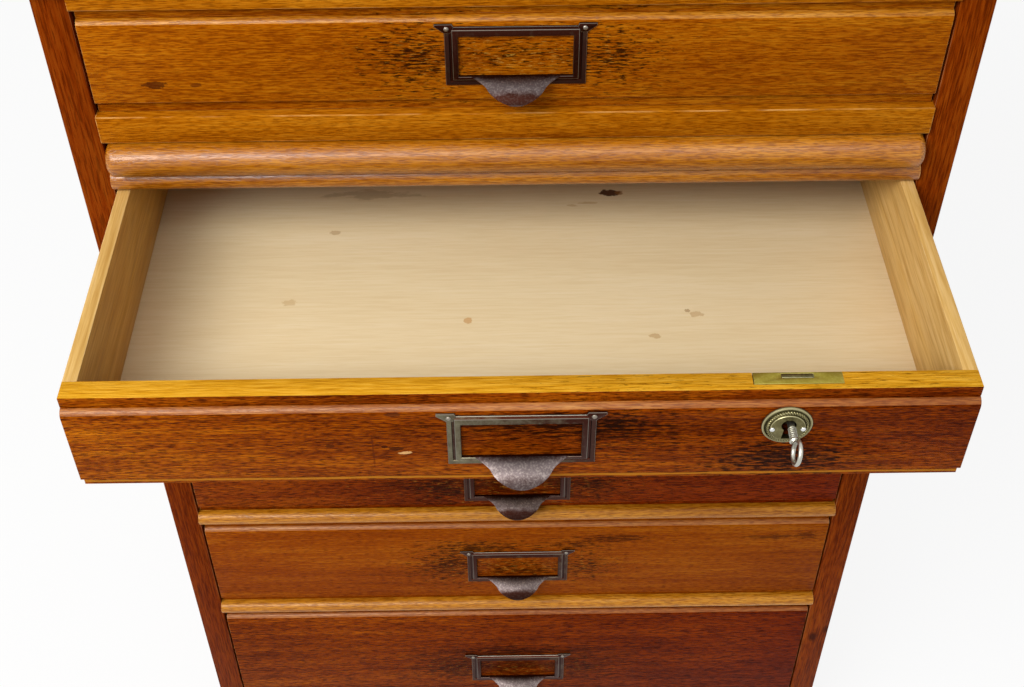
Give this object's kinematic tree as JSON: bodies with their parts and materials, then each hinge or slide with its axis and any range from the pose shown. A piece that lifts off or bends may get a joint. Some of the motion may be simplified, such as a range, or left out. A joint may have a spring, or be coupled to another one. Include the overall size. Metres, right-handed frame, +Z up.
{
  "type": "haberdashery cabinet",
  "caption": "Narrow oak haberdashery cabinet with a bank of shallow drawers, card-frame pulls, a pull-out writing slide and one locking drawer standing open.",
  "frame": {"origin": "on the floor, under the middle of the object's box with the locking drawer standing open", "axes": "+Z up, +Y towards the back, +X to the right seen from the front"},
  "size_m": [0.616, 0.6544, 0.9645],
  "materials": {
    "oak_carcass": "dark reddish varnished oak",
    "oak_front": "worn orange-brown varnished oak",
    "secondary_wood": "bare pine, yellowed",
    "drawer_bottom": "bare pale birch sheet",
    "bronzed_steel": "oxidised bronzed steel, worn to grey on the cups",
    "brass": "aged brass",
    "bright_steel": "bright steel",
    "nickel": "worn nickel silver"
  },
  "bodies": {
    "cabinet": {"top_board": "oak_carcass", "front_post_left": "oak_carcass", "front_post_right": "oak_carcass", "rear_posts": "oak_carcass", "side_panels": "oak_carcass", "side_rails": "oak_carcass", "back_panel": "secondary_wood", "rear_rails": "secondary_wood", "kick_board": "oak_carcass", "top_rail": "oak_carcass", "slide_head_rail": "oak_carcass", "slide_bead_rail": "oak_carcass", "drawer_rails": "oak_carcass", "bottom_rail": "oak_carcass", "runners": "secondary_wood", "drawer_stops": "secondary_wood", "lock_strike": "brass"},
    "writing_slide": {"slide_board": "secondary_wood", "slide_lipping": "oak_front"},
    "drawer_1": {"drawer_1_front": "oak_front", "drawer_1_sides": "secondary_wood", "drawer_1_back": "secondary_wood", "drawer_1_bottom": "drawer_bottom", "drawer_1_pull": "bronzed_steel"},
    "drawer_2": {"drawer_2_front": "oak_front", "drawer_2_sides": "secondary_wood", "drawer_2_back": "secondary_wood", "drawer_2_bottom": "drawer_bottom", "drawer_2_pull": "bronzed_steel", "lock_plate": "brass", "lock_case": "bright_steel", "escutcheon": "brass", "escutcheon_nails": "bright_steel"},
    "drawer_3": {"drawer_3_front": "oak_front", "drawer_3_sides": "secondary_wood", "drawer_3_back": "secondary_wood", "drawer_3_bottom": "drawer_bottom", "drawer_3_pull": "bronzed_steel"},
    "drawer_4": {"drawer_4_front": "oak_front", "drawer_4_sides": "secondary_wood", "drawer_4_back": "secondary_wood", "drawer_4_bottom": "drawer_bottom", "drawer_4_pull": "bronzed_steel"},
    "drawer_5": {"drawer_5_front": "oak_front", "drawer_5_sides": "secondary_wood", "drawer_5_back": "secondary_wood", "drawer_5_bottom": "drawer_bottom", "drawer_5_pull": "bronzed_steel"},
    "drawer_6": {"drawer_6_front": "oak_front", "drawer_6_sides": "secondary_wood", "drawer_6_back": "secondary_wood", "drawer_6_bottom": "drawer_bottom", "drawer_6_pull": "bronzed_steel"},
    "drawer_7": {"drawer_7_front": "oak_front", "drawer_7_sides": "secondary_wood", "drawer_7_back": "secondary_wood", "drawer_7_bottom": "drawer_bottom", "drawer_7_pull": "bronzed_steel"},
    "lock_bolt": {"lock_bolt": "brass"},
    "key": {"key": "nickel"}
  },
  "joints": [
    {"name": "drawer_1_slide", "type": "slide", "parent": "cabinet", "child": "drawer_1", "axis": [0, -1, 0], "range_m": [0, 0.3]},
    {"name": "drawer_2_slide", "type": "slide", "parent": "cabinet", "child": "drawer_2", "axis": [0, -1, 0], "range_m": [-0.2, 0.1]},
    {"name": "drawer_3_slide", "type": "slide", "parent": "cabinet", "child": "drawer_3", "axis": [0, -1, 0], "range_m": [0, 0.3]},
    {"name": "drawer_4_slide", "type": "slide", "parent": "cabinet", "child": "drawer_4", "axis": [0, -1, 0], "range_m": [0, 0.3]},
    {"name": "drawer_5_slide", "type": "slide", "parent": "cabinet", "child": "drawer_5", "axis": [0, -1, 0], "range_m": [0, 0.3]},
    {"name": "drawer_6_slide", "type": "slide", "parent": "cabinet", "child": "drawer_6", "axis": [0, -1, 0], "range_m": [0, 0.3]},
    {"name": "drawer_7_slide", "type": "slide", "parent": "cabinet", "child": "drawer_7", "axis": [0, -1, 0], "range_m": [0, 0.3]},
    {"name": "writing_slide_pull", "type": "slide", "parent": "cabinet", "child": "writing_slide", "axis": [0, -1, 0], "range_m": [0, 0.24]},
    {"name": "key_turn", "type": "hinge", "parent": "drawer_2", "child": "key", "pos_m": [0.1625, -0.2938, 0.761], "axis": [0, 1, 0], "range_deg": [0, 180]},
    {"name": "bolt_throw", "type": "slide", "parent": "drawer_2", "child": "lock_bolt", "axis": [0, 0, 1], "range_m": [0, 0.007]}
  ],
  "couplings": [
    {"joint": "key_turn", "follows": "bolt_throw", "rad_per_m": 448.79}
  ]
}
